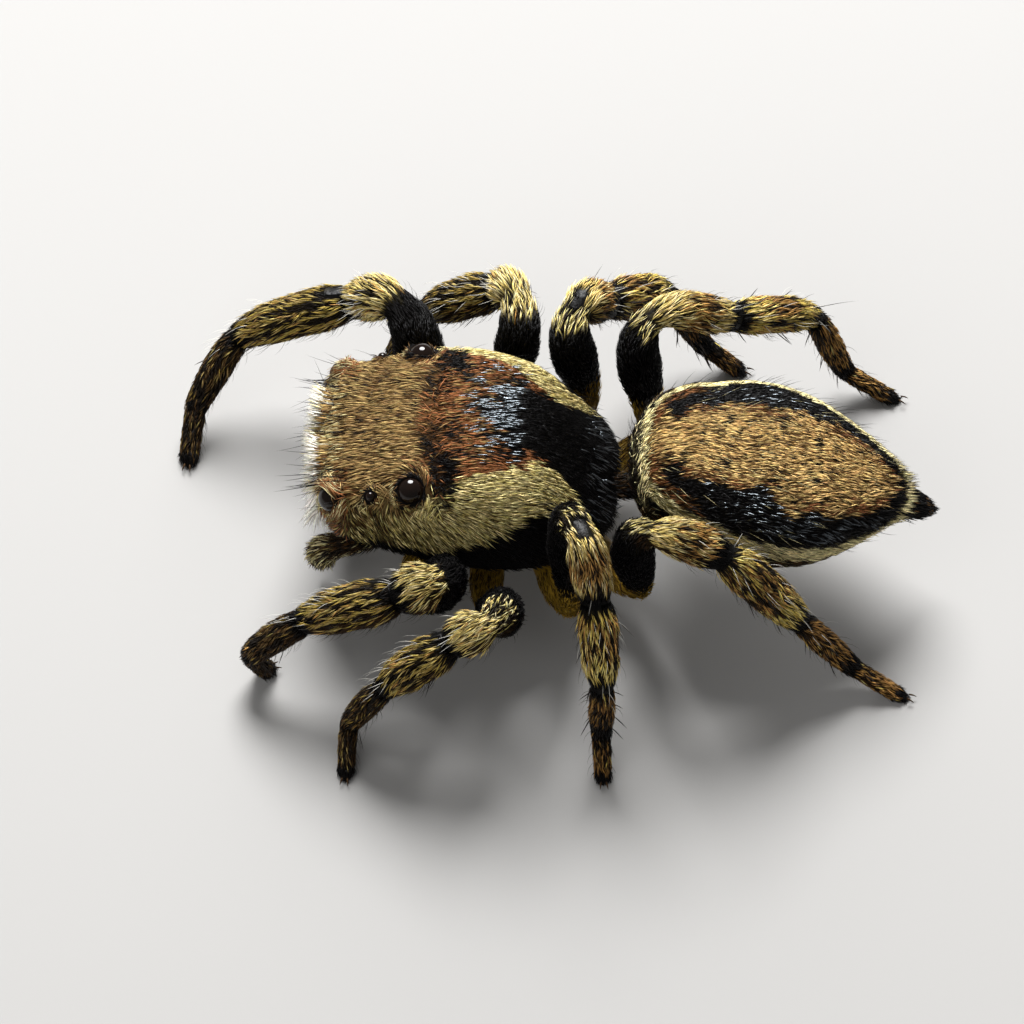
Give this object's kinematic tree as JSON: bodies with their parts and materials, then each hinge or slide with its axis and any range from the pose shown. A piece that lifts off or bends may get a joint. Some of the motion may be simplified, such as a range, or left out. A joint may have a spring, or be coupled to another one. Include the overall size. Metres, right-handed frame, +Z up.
{
  "type": "woodland jumping spider",
  "caption": "Still, life-size jumping spider standing on small flat feet, with a boxy scaled head, large dark eyes, banded hairy legs and a patterned oval abdomen.",
  "frame": {"origin": "on the floor, under the middle of the model's box", "axes": "+Y toward the tail, +X toward the animal's left, +Z up"},
  "size_m": [0.005, 0.0068, 0.0022],
  "materials": {
    "carapace_scales": "tan, cream and black scale hairs over glossy black",
    "abdomen_scales": "tan-brown scale hairs with a black band and a cream rim",
    "leg_scales": "cream and black streaked scale hairs",
    "leg_bases": "honey-yellow, slightly glossy",
    "palps": "pale hairs over brown",
    "cuticle": "dark brown to black, glossy, bare under the coat",
    "spinnerets": "black, hairy",
    "eyes": "black, mirror-smooth lens"
  },
  "bodies": {
    "root": {"abdomen": "abdomen_scales", "carapace": "carapace_scales", "chelicera_left": "cuticle", "chelicera_right": "cuticle", "eye_front_lateral_left": "eyes", "eye_front_lateral_right": "eyes", "eye_front_median_left": "eyes", "eye_front_median_right": "eyes", "eye_rear_left": "eyes", "eye_rear_right": "eyes", "eye_small_left": "eyes", "eye_small_right": "eyes", "leg_left_1_coxa": "leg_bases", "leg_left_1_femur": "leg_scales", "leg_left_1_foot": "leg_scales", "leg_left_1_patella": "leg_scales", "leg_left_1_tibia": "leg_scales", "leg_left_2_coxa": "leg_bases", "leg_left_2_femur": "leg_scales", "leg_left_2_foot": "leg_scales", "leg_left_2_patella": "leg_scales", "leg_left_2_tibia": "leg_scales", "leg_left_3_coxa": "leg_bases", "leg_left_3_femur": "leg_scales", "leg_left_3_foot": "leg_scales", "leg_left_3_patella": "leg_scales", "leg_left_3_tibia": "leg_scales", "leg_left_4_coxa": "leg_bases", "leg_left_4_femur": "leg_scales", "leg_left_4_foot": "leg_scales", "leg_left_4_patella": "leg_scales", "leg_left_4_tibia": "leg_scales", "leg_right_1_coxa": "leg_bases", "leg_right_1_femur": "leg_scales", "leg_right_1_foot": "leg_scales", "leg_right_1_patella": "leg_scales", "leg_right_1_tibia": "leg_scales", "leg_right_2_coxa": "leg_bases", "leg_right_2_femur": "leg_scales", "leg_right_2_foot": "leg_scales", "leg_right_2_patella": "leg_scales", "leg_right_2_tibia": "leg_scales", "leg_right_3_coxa": "leg_bases", "leg_right_3_femur": "leg_scales", "leg_right_3_foot": "leg_scales", "leg_right_3_patella": "leg_scales", "leg_right_3_tibia": "leg_scales", "leg_right_4_coxa": "leg_bases", "leg_right_4_femur": "leg_scales", "leg_right_4_foot": "leg_scales", "leg_right_4_patella": "leg_scales", "leg_right_4_tibia": "leg_scales", "mouthparts": "cuticle", "palp_left": "palps", "palp_right": "palps", "pedicel": "cuticle", "spinnerets": "spinnerets", "sternum": "cuticle"}
  },
  "joints": []
}
